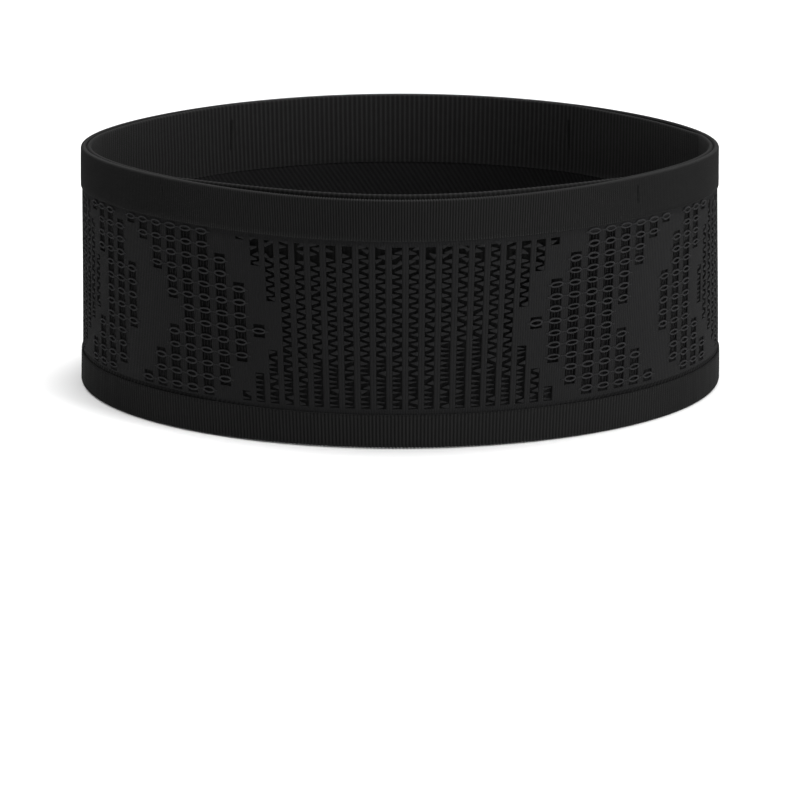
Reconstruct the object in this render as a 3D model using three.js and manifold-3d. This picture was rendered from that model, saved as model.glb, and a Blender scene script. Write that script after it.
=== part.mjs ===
// A seamless-knit sports waistband: two knitted layers, one inside the other, that share one
// bottom welt and stay open at the top, so that the space between them is a ring of pockets.
//
// Frame: millimetres, +Z up. The origin is the middle of the bottom edge. The front faces -Y.
//
// Every piece is laid out in the band's own three coordinates:
//   turn   radians round the band from the front centre, towards +X
//   z      height above the bottom edge
//   depth  distance inwards from the outer face, along the outline's normal
import * as THREE from "three";
import { mergeVertices } from "three/addons/utils/BufferGeometryUtils.js";
import Module from "manifold-3d";

// ---- Overall size ----
const bandWidth = 234; // top rim, side to side
const bandDepth = 210.6; // top rim, front to back
const bandHeight = 87.3;
const bottomFlare = 1.0138; // bottom rim over top rim

// The outline is an ellipse that is drawn in beside its two side ends, by these shares.
const topPull = 0.21;
const topPullFrontMore = 0.07; // added at the front, taken away at the back
const bottomPull = 0.03;

// ---- Cloth ----
const topWeltHeight = 14.4; // folded double, round the outer rim
const bottomWeltHeight = 11.9; // folded double, round the bottom of both layers
const innerBandHeight = 27; // folded double, round the inner rim
const weltThickness = 1.8; // top and bottom welts
const innerBandThickness = 1.6;
const foldCloth = 0.4; // one ply of any folded edge
const foldCorner = 0.4; // chamfer along a folded edge
const bodyThickness = 0.8; // the patterned outer layer
const bodyRecess = 0.15; // the outer layer lies this much behind the welts' outer face
const liningThickness = 0.6;

// ---- Elastics laid inside the folded welts ----
const topElasticHeight = 10.5;
const innerElasticHeight = 20;
const bottomElasticHeight = 8.5;

// ---- Seam threads, which close the open side of each fold ----
const seamHeight = 0.8;
const seamInset = 0.1; // the thread lies this much behind the welts' faces
const innerSeamThickness = 1.0;

// ---- Bartacks, which sew the two layers together and divide the pockets ----
const frontTackTurn = 45.8; // degrees each way from the front centre
const backTackTurn = 144.8;
const tackWidth = 1.8;
const tackHeadThickness = 0.5;
const tackLegWidth = 0.9;
const tackLegHeight = 3.5;
const tackLegDrop = 0.8; // from the head's top to the leg's top
const frontTack = { drop: 2.5, height: 7.1 }; // drop: from the rim to the head's top
const backTack = { drop: 6, height: 12.2 };

// ---- Pocket mouths: how far the two rims stand apart, midway along each mouth ----
const frontGape = 7.4;
const rightGape = 2;
const leftGape = 0.6;
const backGape = 0.5;
const sideMouthTurn = 100; // a side pocket's rims lie together from the front tack to here
const mouthFullness = 3; // 2 opens the mouths like a bow, more opens them sooner
const sewnTurn = 2; // the rims lie together this far each way from a tack

// ---- Clearances and facets ----
const clearance = 0.25; // between any two neighbouring pieces
const turns = 60; // facets round the band
const curvedSteps = 4; // facets up a wall that curves

// ---- Heights that follow ----
const topWeltOpenZ = bandHeight - topWeltHeight;
const topSeamTop = topWeltOpenZ - clearance;
const bodyTop = topSeamTop - seamHeight - clearance;
const innerBandOpenZ = bandHeight - innerBandHeight;
const innerSeamTop = innerBandOpenZ - clearance;
const liningTop = innerSeamTop - seamHeight - clearance;
const bottomSeamBase = bottomWeltHeight + clearance;
const bodyBase = bottomSeamBase + seamHeight + clearance;

const radians = THREE.MathUtils.degToRad;
const mix = THREE.MathUtils.lerp;

// ---- The band's coordinates ----
function outline(turn, z) {
  const up = z / bandHeight;
  const grow = mix(bottomFlare, 1, up);
  const pull = mix(bottomPull, topPull + topPullFrontMore * Math.cos(turn), up);
  const x = (bandWidth / 2) * grow * Math.sin(turn);
  const y = (-bandDepth / 2) * grow * Math.cos(turn) * (1 - pull * Math.sin(turn) ** 2);
  return new THREE.Vector2(x, y);
}

function along(turn, z) {
  const step = 1e-4;
  return outline(turn + step, z).sub(outline(turn - step, z)).divideScalar(2 * step);
}

function place(turn, z, depth) {
  const tangent = along(turn, z).normalize();
  const point = outline(turn, z);
  return new THREE.Vector3(point.x - tangent.y * depth, point.y + tangent.x * depth, z);
}

// How far the two rims stand apart at a turn: nothing at the tacks, most midway along a mouth.
const sideMiddle = (sideMouthTurn + backTackTurn) / 2;
const sideHalf = (backTackTurn - sideMouthTurn) / 2 - sewnTurn;
const mouths = [
  { middle: 0, half: frontTackTurn - sewnTurn, gape: frontGape },
  { middle: sideMiddle, half: sideHalf, gape: rightGape },
  { middle: -sideMiddle, half: sideHalf, gape: leftGape },
  { middle: 180, half: 180 - backTackTurn - sewnTurn, gape: backGape },
];

function gapeAt(turn) {
  const degrees = THREE.MathUtils.radToDeg(turn);
  return mouths.reduce((most, { middle, half, gape }) => {
    const off = THREE.MathUtils.euclideanModulo(degrees - middle + 180, 360) - 180;
    const open = 1 - Math.min(1, Math.abs(off) / half) ** mouthFullness;
    return Math.max(most, gape * open);
  }, 0);
}

// The middle of the inner layer: against the outer layer at the bottom, gaping at the rim.
const innerMidBottom = bodyRecess + bodyThickness + clearance + liningThickness / 2;
const innerMidTop = weltThickness + clearance + innerBandThickness / 2;

function innerMid(turn, z) {
  const up = z / bandHeight;
  const ease = up * up * (3 - 2 * up);
  return mix(innerMidBottom, innerMidTop + gapeAt(turn), ease);
}

const weltMid = () => weltThickness / 2;

// ---- Profiles: lists of [z, depth function], clockwise seen with the band's outside at left ----
function climb(fromZ, toZ, steps, depth) {
  return Array.from({ length: steps + 1 }, (_, i) => [mix(fromZ, toZ, i / steps), depth]);
}

const beside = (mid, offset) => (turn, z) => mid(turn, z) + offset;

function wallProfile(baseZ, topZ, outer, inner, steps = 1) {
  return [...climb(baseZ, topZ, steps, outer), ...climb(topZ, baseZ, steps, inner)];
}

// Cloth folded double: closed and chamfered at foldZ, open at openZ, round an empty channel.
function foldProfile(foldZ, openZ, mid, thickness, steps = 1) {
  const away = Math.sign(openZ - foldZ);
  const half = thickness / 2;
  const channel = half - foldCloth;
  const shoulderZ = foldZ + away * foldCorner;
  const channelZ = foldZ + away * foldCloth;
  const profile = [
    ...climb(openZ, shoulderZ, steps, beside(mid, -half)),
    [foldZ, beside(mid, -half + foldCorner)],
    [foldZ, beside(mid, half - foldCorner)],
    ...climb(shoulderZ, openZ, steps, beside(mid, half)),
    ...climb(openZ, channelZ, steps, beside(mid, channel)),
    ...climb(channelZ, openZ, steps, beside(mid, -channel)),
  ];
  return away < 0 ? profile : profile.reverse();
}

// A flat strip that fills the channel of a fold, a clearance away from the cloth all round.
function elasticProfile(foldZ, away, height, mid, thickness, steps = 1) {
  const nearZ = foldZ + away * (foldCloth + clearance);
  const farZ = nearZ + away * height;
  const half = thickness / 2 - foldCloth - clearance;
  const baseZ = Math.min(nearZ, farZ);
  const topZ = Math.max(nearZ, farZ);
  return wallProfile(baseZ, topZ, beside(mid, -half), beside(mid, half), steps);
}

// ---- Solids ----
function meshOf(points, rows, columns, closedRound) {
  const index = [];
  const lastRow = closedRound ? rows : rows - 1;
  for (let i = 0; i < lastRow; i++) {
    for (let j = 0; j < columns; j++) {
      const a = i * columns + j;
      const b = i * columns + ((j + 1) % columns);
      const c = ((i + 1) % rows) * columns + ((j + 1) % columns);
      const d = ((i + 1) % rows) * columns + j;
      index.push(a, d, c, a, c, b);
    }
  }
  if (!closedRound) {
    const end = (rows - 1) * columns;
    for (let j = 0; j < columns / 2 - 1; j++) {
      const k = columns - 1 - j;
      index.push(j, j + 1, k - 1, j, k - 1, k);
      index.push(end + j, end + k - 1, end + j + 1, end + j, end + k, end + k - 1);
    }
  }
  const geometry = new THREE.BufferGeometry().setFromPoints(points);
  geometry.setIndex(index);
  return geometry;
}

// Even turns round the band, but with one facet across each tack.
function ringTurns() {
  const tackTurns = [frontTackTurn, backTackTurn, 360 - backTackTurn, 360 - frontTackTurn];
  const even = Array.from({ length: turns }, (_, i) => (i / turns) * 360);
  const clear = even.filter((turn) => tackTurns.every((t) => Math.abs(turn - t) > sewnTurn));
  const edges = tackTurns.flatMap((turn) => [turn - sewnTurn, turn + sewnTurn]);
  return [...clear, ...edges].sort((a, b) => a - b).map(radians);
}

function ring(profile) {
  const sections = ringTurns();
  const points = sections.flatMap((turn) =>
    profile.map(([z, depth]) => place(turn, z, depth(turn, z))),
  );
  return meshOf(points, sections.length, profile.length, true);
}

// A block that follows the wall: a width along the band, a height range and a depth range.
function block(turn, width, baseZ, topZ, outer, inner, steps = 1) {
  const halfTurn = width / 2 / along(turn, topZ).length();
  const profile = wallProfile(baseZ, topZ, outer, inner, steps);
  const points = [turn - halfTurn, turn + halfTurn].flatMap((side) =>
    profile.map(([z, depth]) => place(side, z, depth(turn, z))),
  );
  return meshOf(points, 2, profile.length, false);
}

const manifold = await Module();
manifold.setup();

function toSolid(geometry) {
  const bare = new THREE.BufferGeometry();
  bare.setAttribute("position", geometry.getAttribute("position"));
  bare.setIndex(geometry.index);
  const merged = mergeVertices(bare);
  return new manifold.Manifold(
    new manifold.Mesh({
      numProp: 3,
      vertProperties: merged.attributes.position.array,
      triVerts: new Uint32Array(merged.index.array),
    }),
  );
}

function fromSolid(solid) {
  const { vertProperties, triVerts } = solid.getMesh();
  const geometry = new THREE.BufferGeometry();
  geometry.setAttribute("position", new THREE.BufferAttribute(vertProperties, 3));
  geometry.setIndex(new THREE.BufferAttribute(triVerts, 1));
  return geometry;
}

// ---- Bartacks: a stitched head on each side, and a leg through both rims ----
const tacks = [
  { name: "bartack_front_right", turn: radians(frontTackTurn), ...frontTack },
  { name: "bartack_front_left", turn: radians(-frontTackTurn), ...frontTack },
  { name: "bartack_back_right", turn: radians(backTackTurn), ...backTack },
  { name: "bartack_back_left", turn: radians(-backTackTurn), ...backTack },
];

const innerFace = beside(innerMid, innerBandThickness / 2);
const outsideHeadFace = () => -clearance - tackHeadThickness;
const insideHeadFace = beside(innerFace, clearance + tackHeadThickness);

function legHeights(tack) {
  const topZ = bandHeight - tack.drop - tackLegDrop;
  return [topZ - tackLegHeight, topZ];
}

function tackGeometry(tack) {
  const topZ = bandHeight - tack.drop;
  const baseZ = topZ - tack.height;
  const outsideBack = () => -clearance;
  const insideBack = beside(innerFace, clearance);
  const heads = [
    block(tack.turn, tackWidth, baseZ, topZ, outsideHeadFace, outsideBack, curvedSteps),
    block(tack.turn, tackWidth, baseZ, topZ, insideBack, insideHeadFace, curvedSteps),
  ];
  const inHead = tackHeadThickness / 2;
  const from = beside(outsideHeadFace, inHead);
  const to = beside(insideHeadFace, -inHead);
  const leg = block(tack.turn, tackLegWidth, ...legHeights(tack), from, to);
  return fromSolid(heads.map(toSolid).reduce((sum, head) => sum.add(head), toSolid(leg)));
}

function withTackSlots(geometry) {
  const width = tackLegWidth + 2 * clearance;
  return fromSolid(
    tacks.reduce((solid, tack) => {
      const [baseZ, topZ] = legHeights(tack);
      const slot = block(
        tack.turn,
        width,
        baseZ - clearance,
        topZ + clearance,
        outsideHeadFace,
        insideHeadFace,
      );
      return solid.subtract(toSolid(slot));
    }, toSolid(geometry)),
  );
}

// ---- Materials ----
function knit(name, color, roughness) {
  return new THREE.MeshStandardMaterial({ name, color, roughness, metalness: 0 });
}

const bodyKnit = () => knit("body_knit", 0x17171a, 0.92);
const weltKnit = () => knit("welt_knit", 0x1b1b1e, 0.85);
const liningKnit = () => knit("lining_knit", 0x141416, 0.95);
const elasticYarn = () => knit("elastic_yarn", 0x101012, 0.7);
const sewingThread = () => knit("sewing_thread", 0x222226, 0.6);

// ---- Assembly ----
const band = new THREE.Group();
band.name = "sports_waistband";

function add(name, geometry, material) {
  const mesh = new THREE.Mesh(geometry, material);
  mesh.name = name;
  band.add(mesh);
}

// Outer layer
const bodyOuter = () => bodyRecess;
const bodyInner = () => bodyRecess + bodyThickness;
const weltFold = foldProfile(bandHeight, topWeltOpenZ, weltMid, weltThickness);
const weltElastic = elasticProfile(bandHeight, -1, topElasticHeight, weltMid, weltThickness);
const weltSeam = wallProfile(topSeamTop - seamHeight, topSeamTop, () => seamInset, bodyInner);
add("outer_knit_body", ring(wallProfile(bodyBase, bodyTop, bodyOuter, bodyInner)), bodyKnit());
add("outer_top_welt", withTackSlots(ring(weltFold)), weltKnit());
add("outer_welt_elastic", withTackSlots(ring(weltElastic)), elasticYarn());
add("outer_welt_seam_thread", ring(weltSeam), sewingThread());

// Inner layer
const bandFold = foldProfile(
  bandHeight,
  innerBandOpenZ,
  innerMid,
  innerBandThickness,
  curvedSteps,
);
const bandElastic = elasticProfile(
  bandHeight,
  -1,
  innerElasticHeight,
  innerMid,
  innerBandThickness,
  curvedSteps,
);
const bandSeam = wallProfile(
  innerSeamTop - seamHeight,
  innerSeamTop,
  beside(innerMid, -innerSeamThickness / 2),
  beside(innerMid, innerSeamThickness / 2),
);
const lining = wallProfile(
  bodyBase,
  liningTop,
  beside(innerMid, -liningThickness / 2),
  beside(innerMid, liningThickness / 2),
  curvedSteps,
);
add("inner_top_band", withTackSlots(ring(bandFold)), weltKnit());
add("inner_band_elastic", withTackSlots(ring(bandElastic)), elasticYarn());
add("inner_band_seam_thread", ring(bandSeam), sewingThread());
add("inner_lining", ring(lining), liningKnit());

// Bottom edge, which holds both layers
const bottomFold = foldProfile(0, bottomWeltHeight, weltMid, weltThickness);
const bottomElastic = elasticProfile(0, 1, bottomElasticHeight, weltMid, weltThickness);
const bottomSeam = wallProfile(
  bottomSeamBase,
  bottomSeamBase + seamHeight,
  () => seamInset,
  () => weltThickness - seamInset,
);
add("bottom_welt", ring(bottomFold), weltKnit());
add("bottom_welt_elastic", ring(bottomElastic), elasticYarn());
add("bottom_seam_thread", ring(bottomSeam), sewingThread());

for (const tack of tacks) add(tack.name, tackGeometry(tack), sewingThread());

export default band;
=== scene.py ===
"""Knitted sports waistband: a black belt with a folded rim, an openwork mesh front and eyelet fields.

Every knitted piece is made flat first, as it would lie on a table: X runs along the band from the
middle of the front, Y is the height and Z points away from the wearer. It is then bent round the band.
"""
import math

import bmesh
import bpy
import numpy as np
from bpy.props import FloatProperty, FloatVectorProperty, IntProperty, PointerProperty
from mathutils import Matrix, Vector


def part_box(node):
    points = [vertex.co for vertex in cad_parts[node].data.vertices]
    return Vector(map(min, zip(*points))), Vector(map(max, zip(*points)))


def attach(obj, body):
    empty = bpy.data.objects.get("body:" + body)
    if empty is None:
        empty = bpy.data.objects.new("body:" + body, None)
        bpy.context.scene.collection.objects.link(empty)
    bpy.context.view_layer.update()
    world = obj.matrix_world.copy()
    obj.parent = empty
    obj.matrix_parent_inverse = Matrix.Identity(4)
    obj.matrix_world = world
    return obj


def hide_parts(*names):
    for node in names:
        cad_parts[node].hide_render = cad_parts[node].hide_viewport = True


bl_info = {
    "name": "Knitted Sports Waistband",
    "version": (1, 0, 0),
    "blender": (4, 5, 0),
    "location": "3D View > Sidebar > Waistband",
    "description": "Knits a sports waistband round its packed model",
    "category": "Add Mesh",
}

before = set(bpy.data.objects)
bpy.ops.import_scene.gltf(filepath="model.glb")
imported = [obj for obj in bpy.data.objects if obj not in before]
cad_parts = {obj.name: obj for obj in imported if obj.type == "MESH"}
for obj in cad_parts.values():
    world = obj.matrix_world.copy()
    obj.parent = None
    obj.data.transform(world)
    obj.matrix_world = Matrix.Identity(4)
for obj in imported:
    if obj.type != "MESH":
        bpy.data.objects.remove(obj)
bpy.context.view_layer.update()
MM = 0.001


# ---- the band's shape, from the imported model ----

def heights(node):
    """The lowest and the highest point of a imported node."""
    low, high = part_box(node)
    return low[2], high[2]


WELT_LOW, RIM = heights("outer_top_welt")
BODY_LOW, BODY_HIGH = heights("outer_knit_body")
HEM_HIGH = heights("bottom_welt")[1]
INNER_BAND_LOW = heights("inner_top_band")[0]
LINING_LOW, LINING_HIGH = heights("inner_lining")
HEM_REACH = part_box("bottom_welt")[1]
WELT_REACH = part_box("outer_top_welt")[1]

# How far the ends of the hoop are pulled out to a flatter front and back, at the hem and at the rim.
HEM_PULL = 0.03
RIM_PULL = 0.21
RIM_PULL_FRONT = 0.07

# Turns from the middle of the front, in degrees, where the two layers are sewn together.
FRONT_TACK = 45.8
BACK_TACK = 144.8
SIDE_MOUTH = 100
SEWN = 2
# Each mouth between the layers: its middle, half its width and how far it gapes.
MOUTHS = (
    (0, FRONT_TACK - SEWN, 7.4 * MM),
    ((SIDE_MOUTH + BACK_TACK) / 2, (BACK_TACK - SIDE_MOUTH) / 2 - SEWN, 2 * MM),
    (-(SIDE_MOUTH + BACK_TACK) / 2, (BACK_TACK - SIDE_MOUTH) / 2 - SEWN, 0.6 * MM),
    (180, 180 - BACK_TACK - SEWN, 0.5 * MM),
)

# Distances inwards from the reference surface, which is the band's outer face.
BODY_DEPTH = 0.55 * MM
WELT_DEPTH = 0.9 * MM
INNER_DEPTH = 1.35 * MM
# What lies between the two layers at the rim, beyond the gape of the mouths.
INNER_APART = 1.5 * MM
# The height, as a share of the rim's, where the two layers start to part.
PARTING = 0.3
LINING_FOLDS = 3.0 * MM
FOLDS_OUT = 0.2 * MM
WAVES = 0.28 * MM

# The knit columns fan out towards the rim: how much, in radians, and the height where they stand true.
FAN = 0.055
FAN_STILL = 0.24
# The knitted pattern sits a little to one side of the middle of the front.
PATTERN_SHIFT = -1.0 * MM


def outline(turn, height):
    """The outer surface of the band at a turn from the front, in radians, and a height."""
    half_width = HEM_REACH[0] + (WELT_REACH[0] - HEM_REACH[0]) * height / WELT_LOW
    half_depth = HEM_REACH[1] + (WELT_REACH[1] - HEM_REACH[1]) * height / WELT_LOW
    up = height / RIM
    pull = HEM_PULL + (RIM_PULL + RIM_PULL_FRONT * np.cos(turn) - HEM_PULL) * up
    return half_width * np.sin(turn), -half_depth * np.cos(turn) * (1 - pull * np.sin(turn) ** 2)


def gape(turn):
    """How far the inner layer stands away from the outer one at the rim."""
    found = np.zeros_like(turn)
    for middle, half, most in MOUTHS:
        off = (np.degrees(turn) - middle + 180) % 360 - 180
        found = np.maximum(found, most * (1 - np.minimum(1, np.abs(off) / half) ** 3))
    return found


def outer_layer(turn, height):
    """The outer layer is the reference surface itself."""
    return np.zeros_like(turn)


def inner_layer(turn, height):
    """Depth of the middle of the inner layer, which leaves the outer one towards the rim."""
    up = height / RIM
    ease = up * up * (3 - 2 * up)
    apart = np.clip((up - PARTING) / (1 - PARTING), 0, 1) ** 2
    folds = LINING_FOLDS * np.sin(13 * turn + 26 * up) * np.sin(4 * turn + 1) * (1 - ease) * apart
    return INNER_DEPTH + INNER_APART * apart + gape(turn) * ease + np.maximum(folds, -FOLDS_OUT)


def handling(turn, height):
    """The slight waves that worn knit keeps, shared by every layer."""
    up = height / RIM
    slow = np.sin(3 * turn + 0.7 + 1.5 * up) + 0.6 * np.sin(7 * turn - 2 * up)
    return WAVES * slow * np.sin(math.pi * np.clip(up, 0, 1)) ** 0.5


def fan(turn, height):
    """How far a knit column leans away from the middle of the front and back at a height."""
    return FAN * np.sin(2 * turn) * (height / RIM - FAN_STILL)


def measure_round():
    """The length round the band at mid height, as a table from turn to length."""
    turn = np.linspace(0, 2 * math.pi, 2881)
    x, y = outline(turn, np.full_like(turn, RIM / 2))
    steps = np.hypot(np.diff(x), np.diff(y))
    return turn, np.concatenate(([0], np.cumsum(steps)))


TURNS, LENGTHS = measure_round()
ROUND = float(LENGTHS[-1])


def along(degrees):
    """How far along the band a turn from the front is."""
    return float(np.interp(math.radians(abs(degrees)), TURNS, LENGTHS)) * (1 if degrees >= 0 else -1)


def turn_at(length):
    """The turn, in degrees, at a length along the band; the two halves are the same."""
    return math.degrees(float(np.interp(abs(length), LENGTHS, TURNS))) * (1 if length >= 0 else -1)


def bend(flat, layer):
    """Bends flat points round the band, on the outer or on the inner layer."""
    height = flat[:, 1]
    turn = np.interp(flat[:, 0] % ROUND, LENGTHS, TURNS)
    turn = turn + fan(turn, height)
    x, y = outline(turn, height)
    ahead_x, ahead_y = outline(turn + 1e-4, height)
    size = np.hypot(ahead_x - x, ahead_y - y)
    way_x = (ahead_x - x) / size
    way_y = (ahead_y - y) / size
    depth = layer(turn, height) - flat[:, 2] + handling(turn, height)
    return np.stack((x - way_y * depth, y + way_x * depth, height), axis=1)


# ---- node helpers ----

class Value:
    """A node socket that adds Math nodes when it is used in an expression."""

    def __init__(self, nodes, socket):
        self.nodes = nodes
        self.socket = socket

    def math(self, operation, *numbers):
        return self.nodes.add("ShaderNodeMath", {"operation": operation}, dict(enumerate(numbers)))

    def __add__(self, other):
        return self.math("ADD", self, other)

    def __radd__(self, other):
        return self.math("ADD", other, self)

    def __sub__(self, other):
        return self.math("SUBTRACT", self, other)

    def __rsub__(self, other):
        return self.math("SUBTRACT", other, self)

    def __mul__(self, other):
        return self.math("MULTIPLY", self, other)

    def __rmul__(self, other):
        return self.math("MULTIPLY", other, self)

    def __truediv__(self, other):
        return self.math("DIVIDE", self, other)

    def __pow__(self, other):
        return self.math("POWER", self, other)

    def wave(self, pitch):
        """A cosine wave of this length, between -1 and 1."""
        return self.math("COSINE", self * (2 * math.pi / pitch))

    def absolute(self):
        return self.math("ABSOLUTE", self)

    def fraction(self):
        return self.math("FRACT", self)

    def clipped(self):
        """This value kept between 0 and 1."""
        return self.math("MINIMUM", self.math("MAXIMUM", self, 0), 1)


class Nodes:
    """Adds nodes to one tree, shader or geometry."""

    def __init__(self, tree):
        self.tree = tree

    def add(self, kind, settings=None, sockets=None, output=0):
        """A node with its settings made first, then its sockets; gives back one output."""
        node = self.tree.nodes.new(kind)
        for name, setting in (settings or {}).items():
            setattr(node, name, setting)
        for name, value in (sockets or {}).items():
            if isinstance(value, Value):
                self.tree.links.new(value.socket, node.inputs[name])
            else:
                node.inputs[name].default_value = value
        return Value(self, node.outputs[output])

    def parts(self, vector):
        """The three numbers of a vector."""
        split = self.add("ShaderNodeSeparateXYZ", sockets={0: vector}).socket.node
        return [Value(self, socket) for socket in split.outputs]

    def vector(self, x=0, y=0, z=0):
        return self.add("ShaderNodeCombineXYZ", sockets={0: x, 1: y, 2: z})

    def vectors(self, operation, *vectors):
        """Vector maths on two or three vectors."""
        return self.add("ShaderNodeVectorMath", {"operation": operation}, dict(enumerate(vectors)))

    def scaled(self, vector, factor):
        return self.add("ShaderNodeVectorMath", {"operation": "SCALE"}, {0: vector, "Scale": factor})

    def attribute(self, name, kind="FLOAT"):
        """A named attribute of the geometry."""
        return self.add("GeometryNodeInputNamedAttribute", {"data_type": kind}, {"Name": name})


class Pattern(Nodes):
    """A Geometry Nodes tree with named sizes, which ends in one realized mesh with its material."""

    def __init__(self, name):
        super().__init__(bpy.data.node_groups.new(name, "GeometryNodeTree"))
        faces = self.tree.interface
        faces.new_socket("Geometry", in_out="INPUT", socket_type="NodeSocketGeometry")
        faces.new_socket("Material", in_out="INPUT", socket_type="NodeSocketMaterial")
        faces.new_socket("Geometry", in_out="OUTPUT", socket_type="NodeSocketGeometry")
        self.entry = self.tree.nodes.new("NodeGroupInput")
        self.geometry = Value(self, self.entry.outputs["Geometry"])

    def size(self, name, kind="NodeSocketFloat"):
        """A named input of the tree."""
        self.tree.interface.new_socket(name, in_out="INPUT", socket_type=kind)
        return Value(self, self.entry.outputs[name])

    def count(self, name):
        return self.size(name, "NodeSocketInt")

    def spread(self):
        """Random numbers from -1 to 1 for each point, drawn from the tree's seed."""
        sockets = {0: (-1, -1, -1), 1: (1, 1, 1), 8: self.count("Seed")}
        return self.add("FunctionNodeRandomValue", {"data_type": "FLOAT_VECTOR"}, sockets)

    def rail(self):
        """A straight line along the band, in as many steps as the tree is given."""
        half = self.size("Length") * 0.5
        ends = {0: self.vector(half * -1), 1: self.vector(half)}
        line = self.add("GeometryNodeCurvePrimitiveLine", sockets=ends)
        sockets = {"Curve": line, "Count": self.count("Steps")}
        return self.add("GeometryNodeResampleCurve", {"mode": "COUNT"}, sockets)

    def circle(self, sides, radius):
        sockets = {"Resolution": sides, "Radius": radius}
        return self.add("GeometryNodeCurvePrimitiveCircle", sockets=sockets)

    def swept(self, line, profile, capped=False):
        sockets = {"Curve": line, "Profile Curve": profile, "Fill Caps": capped}
        return self.add("GeometryNodeCurveToMesh", sockets=sockets)

    def drawn(self):
        """The drawn lines, as curves."""
        return self.add("GeometryNodeMeshToCurve", sockets={0: self.geometry})

    def ball(self, sides, rings, radius):
        """A ball whose poles lie along the band."""
        ball = self.add("GeometryNodeMeshUVSphere", sockets={0: sides, 1: rings, 2: radius})
        sockets = {0: ball, "Rotation": (0, math.pi / 2, 0)}
        return self.add("GeometryNodeTransform", sockets=sockets)

    def stretched(self, geometry, scale):
        return self.add("GeometryNodeTransform", sockets={0: geometry, "Scale": scale})

    def position(self):
        """The three coordinates of each point."""
        return self.parts(self.add("GeometryNodeInputPosition"))

    def shift(self, geometry, offset):
        return self.add("GeometryNodeSetPosition", sockets={0: geometry, "Offset": offset})

    def raised(self, rise):
        """A push outwards along the surface."""
        return self.scaled(self.add("GeometryNodeInputNormal"), rise)

    def copies(self, shape, **sockets):
        """The shape at every point."""
        sockets = {0: self.geometry, "Instance": shape, **sockets}
        return self.add("GeometryNodeInstanceOnPoints", sockets=sockets)

    def close(self, geometry):
        """Ends the tree."""
        whole = self.add("GeometryNodeRealizeInstances", sockets={0: geometry})
        dyed = self.add(
            "GeometryNodeSetMaterial",
            sockets={"Geometry": whole, "Material": Value(self, self.entry.outputs["Material"])},
        )
        leave = self.tree.nodes.new("NodeGroupOutput")
        self.tree.links.new(dyed.socket, leave.inputs[0])
        return self

    def knit(self, points, edges, material, sizes, marks=None):
        """Runs the tree on a bare mesh and gives back the plain mesh that it makes."""
        start = bpy.data.meshes.new("start")
        start.from_pydata(points, edges, [])
        for name, values in (marks or {}).items():
            kind = "FLOAT" if np.ndim(values) == 1 else "FLOAT_VECTOR"
            mark = start.attributes.new(name, kind, "POINT")
            mark.data.foreach_set("value" if kind == "FLOAT" else "vector", np.ravel(values))
        holder = bpy.data.objects.new("holder", start)
        bpy.context.collection.objects.link(holder)
        modifier = holder.modifiers.new("pattern", "NODES")
        modifier.node_group = self.tree
        given = {"Material": material, **sizes}
        for item in self.tree.interface.items_tree:
            if item.in_out == "INPUT" and item.name in given:
                modifier[item.identifier] = given[item.name]
        ready = holder.evaluated_get(bpy.context.evaluated_depsgraph_get())
        mesh = bpy.data.meshes.new_from_object(ready)
        bpy.data.objects.remove(holder)
        bpy.data.meshes.remove(start)
        mesh.materials.clear()
        mesh.materials.append(material)
        return mesh


# ---- the patterns ----

def wale_pattern():
    """Knit columns: flattened tubes that run up the cloth along the drawn lines."""
    tree = Pattern("wales")
    flattened = tree.vector(tree.size("Width"), tree.size("Thickness"), 1)
    ring = tree.stretched(tree.circle(8, 0.5), flattened)
    return tree.close(tree.swept(tree.drawn(), ring, True))


def scatter(tree, shape, size):
    """Copies of a shape on the points, sized and leaned by the points' marks, each a little different."""
    uneven = tree.size("Unevenness")
    change = tree.spread()
    loose = tree.vectors("MULTIPLY_ADD", change, tree.vector(uneven, uneven, uneven), (1, 1, 1))
    scale = tree.vectors("MULTIPLY", loose, tree.attribute("stretch", "FLOAT_VECTOR"))
    scale = tree.vectors("MULTIPLY", scale, size)
    lean = tree.attribute("lean") + tree.parts(change)[0] * uneven
    return tree.copies(shape, Rotation=tree.vector(0, 0, lean), Scale=scale)


def bead_pattern():
    """Small rounded pieces of yarn, each at its own point, turned and sized by the point's marks."""
    tree = Pattern("beads")
    ball = tree.ball(tree.count("Sides"), tree.count("Rings"), 0.5)
    return tree.close(scatter(tree, ball, tree.size("Size", "NodeSocketVector")))


def finger_pattern():
    """Flat fingers of knit with the round-shouldered outline of a wave, one from each point."""
    tree = Pattern("fingers")
    size = tree.size("Size", "NodeSocketVector")
    root = tree.size("Root")
    x, y, z = tree.position()
    out = (x + 1) * 0.5
    # The small number keeps the roots of the two poles from going below nothing.
    ring = (1 - x * x + 0.0001) ** 0.5
    end = (1 - out * out + 0.0001) ** 0.5
    reach = x.math("ARCCOSINE", x) * (1 / math.pi) * root
    shaped = tree.vector(out, y / ring * reach, z / ring * 0.5 * end ** 0.6)
    sockets = {0: tree.ball(8, 8, 1.0), "Position": shaped}
    finger = tree.add("GeometryNodeSetPosition", sockets=sockets)
    return tree.close(scatter(tree, finger, size))


def ring_pattern():
    """Oval yarn rings, one at each point."""
    tree = Pattern("rings")
    width = tree.size("Width")
    height = tree.size("Height")
    yarn = tree.size("Yarn")
    uneven = tree.size("Unevenness")
    oval = tree.stretched(tree.circle(16, 0.5), tree.vector(width - yarn, height - yarn, 1))
    ring = tree.swept(oval, tree.circle(5, yarn * 0.5))
    turn, wide, tall = tree.parts(tree.spread())
    rotation = tree.vector(0, 0, turn * uneven)
    scale = tree.vector(1 + wide * uneven, 1 + tall * uneven * 2, 1)
    return tree.close(tree.copies(ring, Rotation=rotation, Scale=scale))


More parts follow.
